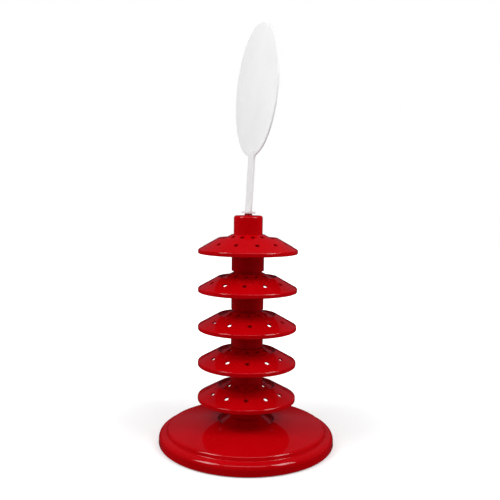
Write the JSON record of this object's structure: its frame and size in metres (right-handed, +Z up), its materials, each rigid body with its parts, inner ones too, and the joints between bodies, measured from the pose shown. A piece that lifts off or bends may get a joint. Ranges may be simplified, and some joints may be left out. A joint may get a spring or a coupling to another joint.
{
  "type": "tiered stick display stand",
  "caption": "Tiered countertop stand of moulded plastic that holds sweets on sticks in slanted holes, with turning levels and a blank round sign on top.",
  "frame": {"origin": "centre of the circle that the feet stand on, on the table", "axes": "+Z up along the axis that every level turns on, -Y towards the viewer, +X to the viewer's right"},
  "size_m": [0.1976, 0.1976, 0.4562],
  "materials": {
    "red_plastic": "gloss",
    "white_plastic": "satin",
    "black_plastic": "matte",
    "ballast_steel": "plain",
    "screw_steel": "zinc plated",
    "foot_rubber": "matte"
  },
  "bodies": {
    "base": {"base_shell": "red_plastic", "base_cover": "black_plastic", "ballast_ring": "ballast_steel", "foot_1": "foot_rubber", "foot_2": "foot_rubber", "foot_3": "foot_rubber", "foot_4": "foot_rubber", "cover_screws": "screw_steel"},
    "level_5": {"tier_5": "red_plastic"},
    "level_4": {"tier_4": "red_plastic"},
    "level_3": {"tier_3": "red_plastic"},
    "level_2": {"tier_2": "red_plastic"},
    "level_1": {"tier_1": "red_plastic"},
    "sign": {"sign": "white_plastic"}
  },
  "joints": [
    {"name": "tier_5_turn", "type": "hinge", "parent": "base", "child": "level_5", "pos_m": [0, 0, 0.0487], "axis": [0, 0, 1], "continuous": true},
    {"name": "tier_4_turn", "type": "hinge", "parent": "level_5", "child": "level_4", "pos_m": [0, 0, 0.0887], "axis": [0, 0, 1], "continuous": true},
    {"name": "tier_3_turn", "type": "hinge", "parent": "level_4", "child": "level_3", "pos_m": [0, 0, 0.1293], "axis": [0, 0, 1], "continuous": true},
    {"name": "tier_2_turn", "type": "hinge", "parent": "level_3", "child": "level_2", "pos_m": [0, 0, 0.1715], "axis": [0, 0, 1], "continuous": true},
    {"name": "tier_1_turn", "type": "hinge", "parent": "level_2", "child": "level_1", "pos_m": [0, 0, 0.214], "axis": [0, 0, 1], "continuous": true},
    {"name": "sign_turn", "type": "hinge", "parent": "level_1", "child": "sign", "pos_m": [0, 0, 0.2555], "axis": [0.0471, 0, 0.9989], "continuous": true}
  ]
}
